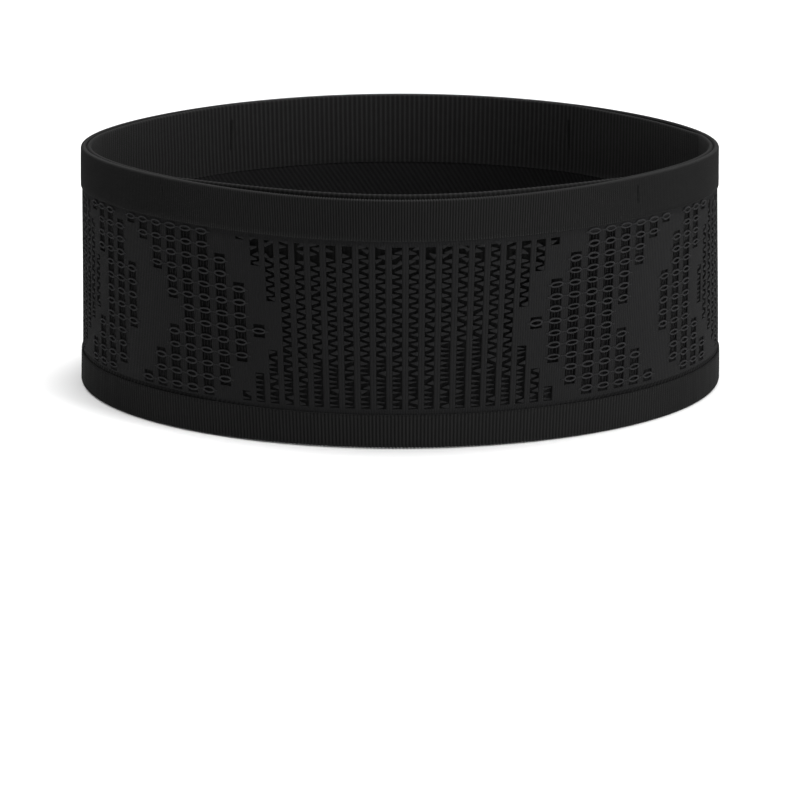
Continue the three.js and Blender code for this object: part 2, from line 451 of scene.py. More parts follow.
def ribbed_pattern():
    """Ribbed knit: the drawn section, swept along the band, with ribs that may lean."""
    tree = Pattern("ribbed knit")
    cloth = tree.swept(tree.rail(), tree.drawn())
    x, y, z = tree.position()
    wave = (x / tree.size("Rib pitch")).wave(1) * tree.attribute("ribbed")
    cloth = tree.add(
        "GeometryNodeStoreNamedAttribute",
        {"data_type": "FLOAT", "domain": "POINT"},
        {"Geometry": cloth, "Name": "rib", "Value": wave},
    )
    slant = tree.vector(y * tree.size("Lean"))
    moved = tree.vectors("ADD", tree.raised(wave * tree.size("Rib height")), slant)
    return tree.close(tree.shift(cloth, moved))


def strand_pattern():
    """Parallel yarns that run along the band, one from each point, slightly beaded."""
    tree = Pattern("strands")
    yarn = tree.size("Yarn")
    tube = tree.swept(tree.rail(), tree.circle(6, yarn * 0.5))
    x, y, z = tree.position()
    beaded = tree.raised((x / tree.size("Wrap pitch")).wave(1) * yarn * 0.06)
    return tree.close(tree.copies(tree.shift(tube, beaded)))


# ---- sizes and colours a user may change ----

def length_value(name, description, default):
    """A length in millimetres on the panel, kept in metres."""
    return FloatProperty(
        name=name, description=description, default=default, min=0.0, unit="LENGTH", subtype="DISTANCE"
    )


def colour_value(name, description, default):
    return FloatVectorProperty(
        name=name, description=description, default=default, size=3, min=0.0, max=1.0, subtype="COLOR"
    )


class KnitSizes(bpy.types.PropertyGroup):
    """Sizes of the stitches and the openwork."""

    wale: length_value("Knit column", "Pitch of the knit columns", 0.917 * MM)
    course: length_value("Knit row", "Pitch of the knit rows", 0.73 * MM)
    cloth: length_value("Cloth thickness", "Thickness of one layer of knit", 0.5 * MM)
    hem_rib: length_value("Hem rib", "Pitch of the ribs of the bottom welt", 1.3 * MM)
    rib_rise: length_value("Rib height", "How far the ribs of the welts stand proud", 0.2 * MM)
    lining_rib: length_value("Lining rib", "Pitch of the slanted ribs of the lining", 2.0 * MM)
    wave_row: length_value("Mesh finger pitch", "Height of one finger of the front mesh", 1.7 * MM)
    finger_reach: length_value("Mesh finger reach", "How far a finger reaches into its slot", 2.6 * MM)
    finger_height: length_value("Mesh finger height", "Height of half a finger at its root", 0.98 * MM)
    eyelet_row: length_value("Eyelet row", "Pitch of the rows of eyelets", 4.6 * MM)
    eyelet_width: length_value("Eyelet width", "Width of an oval eyelet", 5.3 * MM)
    eyelet_height: length_value("Eyelet height", "Height of an oval eyelet", 2.35 * MM)
    eyelet_yarn: length_value("Eyelet yarn", "Thickness of an eyelet's yarn", 0.66 * MM)
    stitch: length_value("Seam stitch", "Length of one stitch of the seams", 1.5 * MM)
    seed: IntProperty(name="Unevenness", description="Seed of the small irregularities", default=7, min=0)


class YarnColours(bpy.types.PropertyGroup):
    """Colours of the yarns and of the studio floor."""

    body: colour_value("Body yarn", "Colour of the outer knit", (0.0054, 0.0054, 0.0056))
    welt: colour_value("Welt yarn", "Colour of the welts and the inner band", (0.0041, 0.0041, 0.0041))
    lining: colour_value("Lining yarn", "Colour of the lining", (0.0052, 0.0052, 0.0054))
    elastic: colour_value("Elastic yarn", "Colour of the covered elastic", (0.004, 0.004, 0.004))
    thread: colour_value("Sewing thread", "Colour of the seams and the bartacks", (0.0025, 0.0025, 0.0025))
    floor: colour_value("Floor", "Colour of the studio floor", (0.9, 0.9, 0.9))


# ---- materials ----

# The size of one unit of the UV map "flat", which every piece gets.
UV_UNIT = 0.1
# Black knit reflects hardly any light as gloss.
YARN_GLOSS = 0.08
LINING_LEAN = 0.65


class Finish(Nodes):
    """A material in the making: its nodes, its shader and the patterns that it is made of."""

    def __init__(self, name, gloss):
        self.material = bpy.data.materials.new(name)
        self.material.use_nodes = True
        super().__init__(self.material.node_tree)
        self.shader = self.tree.nodes["Principled BSDF"]
        self.shader.inputs["Specular IOR Level"].default_value = gloss
        self.body = self.add("ShaderNodeTexCoord", output=3)

    def flat_place(self):
        """The place on the flat knit, along it and across it."""
        return self.parts(self.add("ShaderNodeUVMap", {"uv_map": "flat"}))[:2]

    def noise(self, scale, detail=2.0):
        sockets = {"Vector": self.body, "Scale": scale, "Detail": detail}
        return self.add("ShaderNodeTexNoise", sockets=sockets)

    def mark(self, name):
        return self.add("ShaderNodeAttribute", {"attribute_name": name}, output=2)

    def feed(self, name, value):
        self.tree.links.new(value.socket, self.shader.inputs[name])

    def dye(self, colour, light):
        """The colour, made lighter or darker over the surface."""
        self.feed("Base Color", self.scaled(tuple(colour), light))

    def face(self, roughness, fuzz, strength, relief, height, sheen):
        """Roughness, relief and sheen of a yarn."""
        self.feed("Roughness", (roughness - 0.1 + fuzz * 0.2).clipped())
        sockets = {"Strength": strength, "Distance": relief, "Height": height}
        self.feed("Normal", self.add("ShaderNodeBump", sockets=sockets))
        self.shader.inputs["Sheen Weight"].default_value = sheen


def knit_material(
    name, colour, pitch, row, relief, roughness=0.88, sheen=0.02, lean=0.0, pocket_shade=1.0, painted_light=0.0, rib_shading=0.0
):
    """Black knit: V stitches in relief, uneven dye and a dusty sheen.

    The mark "crest" paints a highlight on a fold's top and on the openwork yarns, or painted shade where it
    is negative;
    by a second weight it paints shade on the face that looks into the pocket. The mark "rib" paints shade in
    the valleys between ribs and a highlight on their crests.
    """
    finish = Finish(name, YARN_GLOSS)
    u, v = finish.flat_place()
    across = (u * UV_UNIT - v * (UV_UNIT * lean)) * (1 / pitch)
    up = v * (UV_UNIT / row)
    side = (across.fraction() - 0.5).absolute() * 2
    legs = ((up + side * 0.9).fraction() - 0.5).absolute() * 2
    column = 1 - (side - 0.5).absolute() * 2
    stitch = (1 - legs * legs) * 0.6 + column * 0.4
    fuzz = finish.noise(2600.0)
    dye = finish.noise(38.0, 3.0)
    wear = finish.noise(260.0)
    light = 0.72 + stitch * 0.26 + dye * 0.24 + fuzz * 0.16 + (wear - 0.5) * 0.2
    # Painted shade in the rib valleys and painted highlight on the rib crests.
    if rib_shading:
        light = light * (1 + finish.mark("rib") * rib_shading)
    # Painted highlight where the crest mark is positive, painted shade where it is negative.
    if painted_light:
        light = light * (1 + finish.mark("crest") * painted_light * (0.5 + fuzz))
    # Painted shade on the face that looks into the pocket.
    if pocket_shade != 1.0:
        light = light * (1 - finish.mark("crest") * (1 - pocket_shade))
    finish.dye(colour, light)
    finish.face(roughness, fuzz, 0.8, relief, stitch * 0.8 + fuzz * 0.35, sheen)
    finish.shader.inputs["Sheen Roughness"].default_value = 0.4
    return finish.material


def yarn_material(name, colour, twist, relief, roughness=0.7, sheen=0.01):
    """Plain twisted yarn: fine slanted plies, uneven dye and a soft sheen."""
    finish = Finish(name, YARN_GLOSS)
    u, v = finish.flat_place()
    ply = ((u + v) * (UV_UNIT / twist)).wave(1) * 0.5 + 0.5
    fuzz = finish.noise(3000.0)
    finish.dye(colour, 0.7 + ply * 0.25 + fuzz * 0.2 + finish.noise(60.0) * 0.2)
    finish.face(roughness, fuzz, 0.7, relief, ply + fuzz * 0.4, sheen)
    return finish.material


def floor_material(colour):
    """Smooth pale studio floor with a trace of unevenness."""
    finish = Finish("studio floor", 0.0)
    finish.dye(colour, 0.99 + finish.noise(3.0) * 0.02)
    finish.shader.inputs["Roughness"].default_value = 1.0
    return finish.material


MATERIALS = {}


def finish_of(slot):
    """The material of a slot, made the first time it is asked for."""
    if slot not in MATERIALS:
        sizes = bpy.context.scene.waistband_knit
        colours = bpy.context.scene.waistband_yarns
        if slot == "body_knit":
            MATERIALS[slot] = knit_material(
                "body knit", colours.body, sizes.wale, sizes.course, 0.12 * MM, painted_light=1.6
            )
        elif slot == "welt_knit":
            MATERIALS[slot] = knit_material(
                "welt knit", colours.welt, sizes.wale, sizes.course, 0.14 * MM, 0.8, 0.03, painted_light=2.0,
                rib_shading=0.8,
            )
        elif slot == "lining_knit":
            MATERIALS[slot] = knit_material(
                "lining knit", colours.lining, sizes.lining_rib / 2, sizes.course, 0.1 * MM,
                lean=LINING_LEAN, pocket_shade=0.35, rib_shading=0.4,
            )
        elif slot == "elastic_yarn":
            MATERIALS[slot] = yarn_material("elastic yarn", colours.elastic, 0.8 * MM, 0.08 * MM, 0.6)
        else:
            MATERIALS[slot] = yarn_material("sewing thread", colours.thread, 0.5 * MM, 0.06 * MM)
    return MATERIALS[slot]


# ---- from flat knit to a finished piece ----

def closed_at_the_back(mesh):
    """Joins the two ends of a hoop where they meet, and points its faces outwards."""
    build = bmesh.new()
    build.from_mesh(mesh)
    ends = [edge for edge in build.edges if edge.is_boundary]
    points = list({point for edge in ends for point in edge.verts})
    bmesh.ops.remove_doubles(build, verts=points, dist=0.02 * MM)
    bmesh.ops.recalc_face_normals(build, faces=build.faces)
    build.to_mesh(mesh)
    build.free()


def place_piece(name, mesh, layer, nodes, hoop=False):
    """Bends a flat mesh round the band and hands it over as a finished piece."""
    flat = np.empty(len(mesh.vertices) * 3)
    mesh.vertices.foreach_get("co", flat)
    flat = flat.reshape(-1, 3)
    corners = np.empty(len(mesh.loops), dtype=np.int32)
    mesh.loops.foreach_get("vertex_index", corners)
    reach = flat[:, 1]
    if "across" in mesh.attributes:
        reach = np.empty(len(mesh.vertices))
        mesh.attributes["across"].data.foreach_get("value", reach)
    while mesh.uv_layers:
        mesh.uv_layers.remove(mesh.uv_layers[0])
    uv = np.stack((flat[corners, 0], reach[corners]), axis=1) / UV_UNIT
    mesh.uv_layers.new(name="flat").data.foreach_set("uv", uv.ravel())
    mesh.vertices.foreach_set("co", bend(flat, layer).ravel())
    mesh.polygons.foreach_set("use_smooth", np.ones(len(mesh.polygons), dtype=bool))
    mesh.update()
    if hoop:
        closed_at_the_back(mesh)
    mesh.name = name
    piece = bpy.data.objects.new(name, mesh)
    bpy.context.collection.objects.link(piece)
    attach(piece, "root")
    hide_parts(*nodes)
    return piece


# ---- where the openwork is ----

# Each edge between two patterns: its turn in degrees at the narrowest height, the rim and the hem.
FRONT_MESH_EDGE = (20.8, 28.8, 28.4)
FRONT_FIELD = ((23.9, 35.2, 33.5), (41.6, 55.5, 50.4))
SIDE_FIELD = ((51.5, 59.5, 58), (62.9, 70.4, 73))
SIDE_MESH_EDGE = (66, 73, 81)
NARROWEST = 0.46


def edge_at(edge, height):
    """The turn of an edge between two patterns at a height: a curve that opens up and down."""
    up = (height - BODY_LOW) / (BODY_HIGH - BODY_LOW)
    middle, top, bottom = edge
    if up > NARROWEST:
        return middle + (top - middle) * ((up - NARROWEST) / (1 - NARROWEST)) ** 1.5
    return middle + (bottom - middle) * ((NARROWEST - up) / NARROWEST) ** 1.5


def pattern_at(turn, height):
    """The pattern at a turn in degrees and a height: the back half mirrors the front half."""
    turn = abs(turn)
    turn = min(turn, 180 - turn) if turn <= 180 else abs(360 - turn)
    if turn < edge_at(FRONT_MESH_EDGE, height) or turn > edge_at(SIDE_MESH_EDGE, height):
        return "mesh"
    for near, far in (FRONT_FIELD, SIDE_FIELD):
        if edge_at(near, height) < turn < edge_at(far, height):
            return "eyelets"
    return "plain"


def wale_count(pitch):
    """An even number of knit columns round the band."""
    return 2 * round(ROUND / pitch / 2)


# Openwork repeats in knit columns: one slot every so many, and the first slot from the front.
MESH_REPEAT = (6, -1)
EYELET_REPEAT = (8, 5)
# The rows of eyelets lie a little closer together on the right half, where the cloth has drawn in.
RIGHT_ROWS = 0.913
# How far the top row of a pattern reaches above the cloth's edge.
MESH_ABOVE = 0.1 * MM
EYELETS_ABOVE = 1.7 * MM
# The bar of knit left under the top edge, and the shortest stretch of a column that is drawn.
TOP_BAR = 0.1 * MM
SHORTEST = 1.5 * MM
# The cloth is tucked this far under each seam: its columns dip close to the edge, and go on beneath.
TUCK = 2.2 * MM
DIP_BEFORE = 0.7 * MM
DIP_PAST = 0.4 * MM
DIP_DEPTH = 0.45 * MM


class Openwork:
    """Where every slot, finger and eyelet of the openwork lies on the flat knit."""

    def __init__(self, sizes):
        self.sizes = sizes
        self.total = wale_count(sizes.wale)
        self.wale = ROUND / self.total
        half = self.total // 2
        side = round(along(90) / self.wale)
        anchors = (0, side, -side, half)
        every, first = MESH_REPEAT
        steps = range(-(half // 4 // every), half // 4 // every + 1)
        slots = [anchor + first + step * every for anchor in anchors for step in steps]
        self.mesh_runs = self.find("mesh", slots, sizes.wave_row, MESH_ABOVE)
        every, first = EYELET_REPEAT
        steps = range(first, half // 2, every)
        fields = [anchor + step for anchor in (0, half) for step in steps]
        fields += [anchor - 1 - step for anchor in (0, half) for step in steps]
        right = [column for column in fields if 0 < column < half]
        left = [column for column in fields if not 0 < column < half]
        self.eyelet_runs = self.find("eyelets", left, sizes.eyelet_row, EYELETS_ABOVE)
        self.eyelet_runs += self.find("eyelets", right, sizes.eyelet_row * RIGHT_ROWS, EYELETS_ABOVE)

    def middle(self, column):
        """How far along the band the middle of a knit column is."""
        return (column + 0.5) * self.wale + PATTERN_SHIFT

    def find(self, pattern, columns, row, above):
        """Unbroken openings of a pattern: knit column, lowest height, number of rows, row height.

        The top row reaches this far above the cloth's edge, under the seam.
        """
        rows = int((BODY_HIGH + above - BODY_LOW) / row)
        low = BODY_HIGH + above - rows * row
        runs = []
        for column in columns:
            turn = (turn_at((column + 0.5) * self.wale) + 180) % 360 - 180
            fits = []
            for number in range(rows):
                height = low + (number + 0.5) * row
                leant = turn + math.degrees(fan(math.radians(turn), height))
                fits.append(pattern_at(leant, height) == pattern)
            number = 0
            while number < rows:
                count = 0
                while number + count < rows and fits[number + count]:
                    count += 1
                if count:
                    runs.append((column, low + number * row, count, row))
                number += count + 1
        return runs

    def gaps(self):
        """The stretches of each knit column that the openwork leaves out."""
        found = {}
        for runs, left, right in ((self.mesh_runs, 1, 2), (self.eyelet_runs, 2, 2)):
            for column, low, count, row in runs:
                for near in range(column - left, column + right + 1):
                    wrapped = (near + self.total // 2) % self.total - self.total // 2
                    high = min(low + count * row, BODY_HIGH - TOP_BAR)
                    found.setdefault(wrapped, []).append((low, high))
        return found

    def wales(self, first, last):
        """The lines of the knit columns between two column numbers, broken at the openwork."""
        gaps = self.gaps()
        points, edges = [], []
        for column in range(first, last):
            start = BODY_LOW - TUCK
            for low, high in sorted(gaps.get(column, [])) + [(BODY_HIGH + TUCK, None)]:
                if low - start > SHORTEST:
                    self.draw_wale(points, edges, self.middle(column), start, low)
                start = high
        return points, edges

    def draw_wale(self, points, edges, x, low, high):
        """One stretch of a knit column; its ends at the welts dip under them."""
        count = max(2, math.ceil((high - low) / (3 * MM)))
        steps = [low + (high - low) * number / count for number in range(count + 1)]
        if low < BODY_LOW:
            steps = [y for y in steps if y > BODY_LOW + MM]
            steps = [low, BODY_LOW - DIP_PAST, BODY_LOW + DIP_BEFORE] + steps
        if high > BODY_HIGH:
            steps = [y for y in steps if y < BODY_HIGH - MM]
            steps += [BODY_HIGH - DIP_BEFORE, BODY_HIGH + DIP_PAST, high]
        start = len(points)
        for y in steps:
            dipped = max(BODY_LOW - y, y - BODY_HIGH) > 0
            points.append((x, y, -BODY_DEPTH - (DIP_DEPTH if dipped else 0)))
        edges.extend((start + number, start + number + 1) for number in range(len(steps) - 1))


ROOT = 0.15 * MM
# Rows under the top welt where the mesh is loose, and the share of fingers that is missing there.
LOOSE_ROWS = 3.5
MISSING = 0.25
# Combs: where they begin as a share of the cloth's height, how many rows take part, and their size.
COMB_TOPS = (0.05, 0.6)
COMB_SHARE = 0.8
COMB_LENGTH = 1.16
COMB_HEIGHT = 0.6


def mesh_fingers(openwork, dice):
    """Yarn fingers that close each slot of the mesh to a winding gap, or to a comb lower down."""
    sizes = openwork.sizes
    half_slot = 2 * openwork.wale - ROOT
    points, stretch, lean = [], [], []
    for column, low, count, row in openwork.mesh_runs:
        middle = openwork.middle(column) + openwork.wale / 2
        comb_below = BODY_LOW + (BODY_HIGH - BODY_LOW) * dice.uniform(*COMB_TOPS)
        swapped = dice.random() < 0.5
        for number in range(count):
            y = low + (number + 0.5) * row
            near_top = (BODY_HIGH - y) / row < LOOSE_ROWS
            if near_top and dice.random() < MISSING:
                continue
            comb = y < comb_below and dice.random() < COMB_SHARE
            left = comb or (number % 2 == 0) != swapped
            side = -1 if left else 1
            points.append((middle + side * half_slot, y, -BODY_DEPTH))
            length = (COMB_LENGTH if comb else 1.0) * dice.uniform(0.92, 1.08)
            stretch.append((length, COMB_HEIGHT if comb else dice.uniform(0.9, 1.1), 1.0))
            turned = 0 if left else math.pi
            lean.append(turned + dice.normal(0, 0.3 if near_top else 0.09))
    return points, np.array(stretch), np.array(lean)


# The thickness of the cloth in a folded welt.
WELT_WALL = 0.4 * MM
# Crest marks of the inner band: painted shade towards the pocket, painted light towards the wearer.
POCKET_SIDE = -0.35
WEARER_SIDE = 0.36


def section_of(low, high, thickness, wall, fold_up=True, flat_steps=9):
    """The closed section of a folded welt: a wall that goes up, round the fold and down again.

    Gives its points as height and distance outwards, the length along the section, where it is ribbed and a
    crest mark of painted highlight along the fold.
    """
    radius = thickness / 2
    inner = radius - wall
    turn = high - radius
    outer = [(low + (turn - low) * step / flat_steps, 0.0) for step in range(flat_steps)]
    for step in range(9):
        angle = math.pi / 2 - math.pi * step / 8
        outer.append((turn + radius * math.cos(angle), -radius + radius * math.sin(angle)))
    outer += [(turn + (low - turn) * step / flat_steps, -thickness) for step in range(1, flat_steps + 1)]
    back = [(low + (turn - low) * step / 2, -thickness + wall) for step in range(3)]
    for step in range(1, 4):
        angle = -math.pi / 2 + math.pi * step / 4
        back.append((turn + inner * math.cos(angle), -radius + inner * math.sin(angle)))
    back += [(turn + (low - turn) * step / 2, -wall) for step in range(3)]
    points = outer + back
    if not fold_up:
        points = [(low + high - y, z) for y, z in points]
    ribbed = [1.0] * len(outer) + [0.0] * len(back)
    # The crest mark is a painted highlight along the top of the fold.
    crest = [max(0.0, 1 - abs(y - high) / (0.6 * radius)) for y, z in outer]
    crest += [0.0] * len(back)
    across = [0.0]
    for here, following in zip(points, points[1:]):
        across.append(across[-1] + math.dist(here, following))
    return points, ribbed, across, crest


def sweep(section, slot, pitch, rise, lean=0.0, steps_per_rib=4, shift=0.0):
    """A hoop of ribbed knit with this section."""
    points, ribbed, across, crest = section
    turn = sum(a[0] * b[1] - b[0] * a[1] for a, b in zip(points, points[1:] + points[:1]))
    if turn < 0:
        points, ribbed, across, crest = points[::-1], ribbed[::-1], across[::-1], crest[::-1]
    drawn = [(-y, -(z + shift), 0.0) for y, z in points]
    edges = [(number, (number + 1) % len(drawn)) for number in range(len(drawn))]
    ribs = round(ROUND / pitch)
    values = {
        "Length": ROUND,
        "Steps": ribs * steps_per_rib + 1,
        "Rib pitch": ROUND / ribs,
        "Rib height": rise,
        "Lean": lean,
    }
    marks = {"ribbed": ribbed, "across": across, "crest": crest}
    return ribbed_pattern().knit(drawn, edges, finish_of(slot), values, marks)


def place_openwork(name, mesh, crest=None):
    """Hands over a piece of the body cloth, lightened all over by one crest mark of painted highlight."""
    if crest is not None:
        mark = mesh.attributes.new("crest", "FLOAT", "POINT")
        mark.data.foreach_set("value", np.full(len(mesh.vertices), crest, dtype=np.float32))
    return place_piece(name, mesh, outer_layer, ["outer_knit_body"])


def place_hoop(name, node, layer, slot, section, pitch, rise, tall, held, rests_on=(), **ribs):
    """Hands over a hoop of ribbed cloth."""
    mesh = sweep(section, slot, pitch, rise, **ribs)
    cloth = place_piece(name, mesh, layer, [node], hoop=True)


def beads(points, size, slot, lean=None, sides=8, rings=5, uneven=0.05, seed=1):
    """A mesh of small rounded yarn pieces."""
    marks = {
        "stretch": np.ones((len(points), 3)),
        "lean": np.zeros(len(points)) if lean is None else lean,
    }
    values = {
        "Sides": sides,
        "Rings": rings,
        "Size": size,
        "Unevenness": uneven,
        "Seed": seed,
    }
    return bead_pattern().knit(points, [], finish_of(slot), values, marks)


# ---- operators: one for each piece or group of like pieces ----

class WAISTBAND_OT_body(bpy.types.Operator):
    """Knit the outer cloth in four quarters, with its openwork left open"""

    bl_idname = "waistband.body"
    bl_label = "Body cloth"

    def execute(self, context):
        openwork = Openwork(context.scene.waistband_knit)
        sizes = openwork.sizes
        eighth = openwork.total // 8
        half = openwork.total // 2
        quarters = {
            "body_front": [(-eighth, eighth)],
            "body_right": [(eighth, half - eighth)],
            "body_back": [(half - eighth, half), (-half, eighth - half)],
            "body_left": [(eighth - half, -eighth)],
        }
        values = {"Width": openwork.wale * 1.34, "Thickness": sizes.cloth}
        for name, spans in quarters.items():
            points, edges = [], []
            for first, last in spans:
                more, joins = openwork.wales(first, last)
                edges += [(a + len(points), b + len(points)) for a, b in joins]
                points += more
            mesh = wale_pattern().knit(points, edges, finish_of("body_knit"), values)
            cloth = place_openwork(name, mesh)
        return {"FINISHED"}


# Crest marks: how much painted highlight each sort of openwork yarn gets over the cloth.
FINGER_HIGHLIGHT = 0.15
RING_HIGHLIGHT = 0.9
LINK_HIGHLIGHT = 0.4
# How deep the eyelets' yarns lie, how far a link stands from its ring, and the threads in each hole.
RING_DEPTH = 0.3 * MM
LINK_DEPTH = 0.28 * MM
THREAD_DEPTH = 0.85 * MM
LINK_OUT = 0.45 * MM
THREAD_PLACES = (-1.35, 0, 1.35)


class WAISTBAND_OT_mesh(bpy.types.Operator):
    """Close the slots of the front and side mesh with yarn fingers"""

    bl_idname = "waistband.mesh"
    bl_label = "Mesh fingers"

    def execute(self, context):
        openwork = Openwork(context.scene.waistband_knit)
        sizes = openwork.sizes
        points, stretch, lean = mesh_fingers(openwork, np.random.default_rng(sizes.seed))
        values = {
            "Size": (sizes.finger_reach, 1.0, sizes.cloth * 0.9),
            "Root": sizes.finger_height,
            "Unevenness": 0.04,
            "Seed": sizes.seed,
        }
        places = np.array(points)[:, 0]
        turned = (places + ROUND / 2) % ROUND - ROUND / 2
        for name, chosen in (
            ("mesh_front", np.abs(turned) < ROUND / 8),
            ("mesh_sides", (np.abs(turned) >= ROUND / 8) & (np.abs(turned) < ROUND * 3 / 8)),
            ("mesh_back", np.abs(turned) >= ROUND * 3 / 8),
        ):
            picked = [point for point, take in zip(points, chosen) if take]
            marks = {"stretch": stretch[chosen], "lean": lean[chosen]}
            mesh = finger_pattern().knit(picked, [], finish_of("body_knit"), values, marks)
            place_openwork(name, mesh, FINGER_HIGHLIGHT)
        return {"FINISHED"}


class WAISTBAND_OT_eyelets(bpy.types.Operator):
    """Set the oval eyelets, the links between them and the loose threads in their holes"""

    bl_idname = "waistband.eyelets"
    bl_label = "Eyelets"

    def execute(self, context):
        openwork = Openwork(context.scene.waistband_knit)
        sizes = openwork.sizes
        dice = np.random.default_rng(sizes.seed + 1)
        rings, links, threads = [], [], []
        for column, low, count, row in openwork.eyelet_runs:
            x = openwork.middle(column)
            for number in range(count):
                y = low + (number + 0.5) * row
                rings.append((x, y, -RING_DEPTH))
                for way in (-1, 1):
                    links.append((x + way * (sizes.eyelet_width / 2 + LINK_OUT), y, -LINK_DEPTH))
                if number:
                    for place in THREAD_PLACES:
                        across = x + (place + dice.normal(0, 0.15)) * MM
                        threads.append((across, y - row / 2, -THREAD_DEPTH))
        values = {
            "Width": sizes.eyelet_width,
            "Height": sizes.eyelet_height,
            "Yarn": sizes.eyelet_yarn,
            "Unevenness": 0.05,
            "Seed": sizes.seed,
        }
        mesh = ring_pattern().knit(rings, [], finish_of("body_knit"), values)
        place_openwork("eyelet_rings", mesh, RING_HIGHLIGHT)
        mesh = beads(links, (1.7 * MM, 0.6 * MM, 0.6 * MM), "body_knit", sides=6, rings=4, uneven=0.1)
        place_openwork("eyelet_links", mesh, LINK_HIGHLIGHT)
        mesh = beads(threads, (0.3 * MM, 3.0 * MM, 0.25 * MM), "body_knit", sides=6, rings=4, uneven=0.1)
        place_openwork("eyelet_threads", mesh)
        return {"FINISHED"}


class WAISTBAND_OT_top_welt(bpy.types.Operator):
    """Fold the ribbed top welt of the outer layer"""

    bl_idname = "waistband.top_welt"
    bl_label = "Top welt"

    def execute(self, context):
        sizes = context.scene.waistband_knit
        section = section_of(WELT_LOW, RIM, 2 * WELT_DEPTH, WELT_WALL, flat_steps=7)
        place_hoop(
            "top_welt", "outer_top_welt", outer_layer, "welt_knit", section, sizes.wale, sizes.rib_rise,
            2 * (RIM - WELT_LOW), "folded",
        )
        return {"FINISHED"}


class WAISTBAND_OT_inner_band(bpy.types.Operator):
    """Fold the smooth double band that tops the inner layer"""

    bl_idname = "waistband.inner_band"
    bl_label = "Inner band"

    def execute(self, context):
        sizes = context.scene.waistband_knit
        wall = 11
        points, ribbed, across, crest = section_of(INNER_BAND_LOW, RIM, 1.6 * MM, WELT_WALL, flat_steps=wall)
        # Painted shade on the wall towards the pocket; painted light on the wall towards the wearer and on
        # the fold.
        painted_light = [POCKET_SIDE] * wall + [max(mark, WEARER_SIDE) for mark in crest[wall:]]
        place_hoop(
            "inner_band", "inner_top_band", inner_layer, "welt_knit", (points, ribbed, across, painted_light),
            2 * sizes.wale, sizes.rib_rise * 0.3, 2 * (RIM - INNER_BAND_LOW), "folded",
            shift=0.8 * MM, steps_per_rib=3,
        )
        return {"FINISHED"}


# The lining: half its thickness, its ribs, and how far it dips under the hem and under the band.
LINING_HALF = 0.3 * MM
LINING_RISE = 0.14 * MM
HEM_DIP = 0.5 * MM
BAND_DIP = 0.25 * MM
BAND_DIP_FROM = 4 * MM


class WAISTBAND_OT_lining(bpy.types.Operator):
    """Knit the lining, whose ribs climb at a slant"""

    bl_idname = "waistband.lining"
    bl_label = "Lining"

    def execute(self, context):
        sizes = context.scene.waistband_knit
        low, high = LINING_LOW - TUCK, LINING_HIGH + TUCK
        count = 24
        steps = [low + (high - low) * number / count for number in range(count + 1)]
        dips = [
            HEM_DIP if y < LINING_LOW else BAND_DIP if y > LINING_HIGH - BAND_DIP_FROM else 0 for y in steps
        ]
        lines = list(zip(steps, dips))
        points = [(y, dip + LINING_HALF) for y, dip in lines]
        points += [(y, dip - LINING_HALF) for y, dip in reversed(lines)]
        across = steps + steps[::-1]
        # The face towards the pocket is marked for painted shade.
        pocket_side = [1.0] * len(steps) + [0.0] * len(steps)
        section = (points, [1.0] * len(points), across, pocket_side)
        place_hoop(
            "lining", "inner_lining", inner_layer, "lining_knit", section, sizes.lining_rib, LINING_RISE,
            high - low, "hung", ["inner_band"], lean=LINING_LEAN,
        )
        return {"FINISHED"}


class WAISTBAND_OT_bottom_welt(bpy.types.Operator):
    """Fold the ribbed bottom welt that joins the two layers"""

    bl_idname = "waistband.bottom_welt"
    bl_label = "Bottom welt"

    def execute(self, context):
        sizes = context.scene.waistband_knit
        section = section_of(0.0, HEM_HIGH, 2 * WELT_DEPTH, WELT_WALL, fold_up=False, flat_steps=7)
        place_hoop(
            "bottom_welt_knit", "bottom_welt", outer_layer, "welt_knit", section, sizes.hem_rib,
            sizes.rib_rise, 2 * HEM_HIGH, "folded",
        )
        return {"FINISHED"}


class WAISTBAND_OT_elastics(bpy.types.Operator):
    """Lay the covered elastic yarns inside the three welts"""

    bl_idname = "waistband.elastics"
    bl_label = "Elastics"

    def execute(self, context):
        for name, node, layer, depth in (
            ("top_elastic", "outer_welt_elastic", outer_layer, WELT_DEPTH),
            ("inner_elastic", "inner_band_elastic", inner_layer, 0.0),
            ("bottom_elastic", "bottom_welt_elastic", outer_layer, WELT_DEPTH),
        ):
            low, high = heights(node)
            count = round((high - low) / (1.5 * MM))
            points = [(0, low + (high - low) * (n + 0.5) / count, -depth) for n in range(count)]
            values = {"Length": ROUND, "Steps": 721, "Yarn": 0.5 * MM, "Wrap pitch": ROUND / 180}
            mesh = strand_pattern().knit(points, [], finish_of("elastic_yarn"), values)
            place_piece(name, mesh, layer, [node], hoop=True)
        return {"FINISHED"}


class WAISTBAND_OT_seams(bpy.types.Operator):
    """Sew the three seams that join the welts to the cloth"""

    bl_idname = "waistband.seams"
    bl_label = "Seams"

    def execute(self, context):
        sizes = context.scene.waistband_knit
        for name, node, layer, depth in (
            ("top_seam", "outer_welt_seam_thread", outer_layer, 0.95 * MM),
            ("inner_seam", "inner_band_seam_thread", inner_layer, -0.35 * MM),
            ("bottom_seam", "bottom_seam_thread", outer_layer, 0.95 * MM),
        ):
            low, high = heights(node)
            count = round(ROUND / sizes.stitch)
            step = ROUND / count
            middle = (low + high) / 2
            points = [((number + 0.5) * step - ROUND / 2, middle, -depth) for number in range(count)]
            lean = np.array([0.28 if number % 2 else -0.28 for number in range(count)])
            size = (step * 1.25, 0.34 * MM, 0.34 * MM)
            mesh = beads(points, size, "sewing_thread", lean=lean, seed=sizes.seed + 2)
            place_piece(name, mesh, layer, [node])
        return {"FINISHED"}


TACK_STITCH = 0.42 * MM


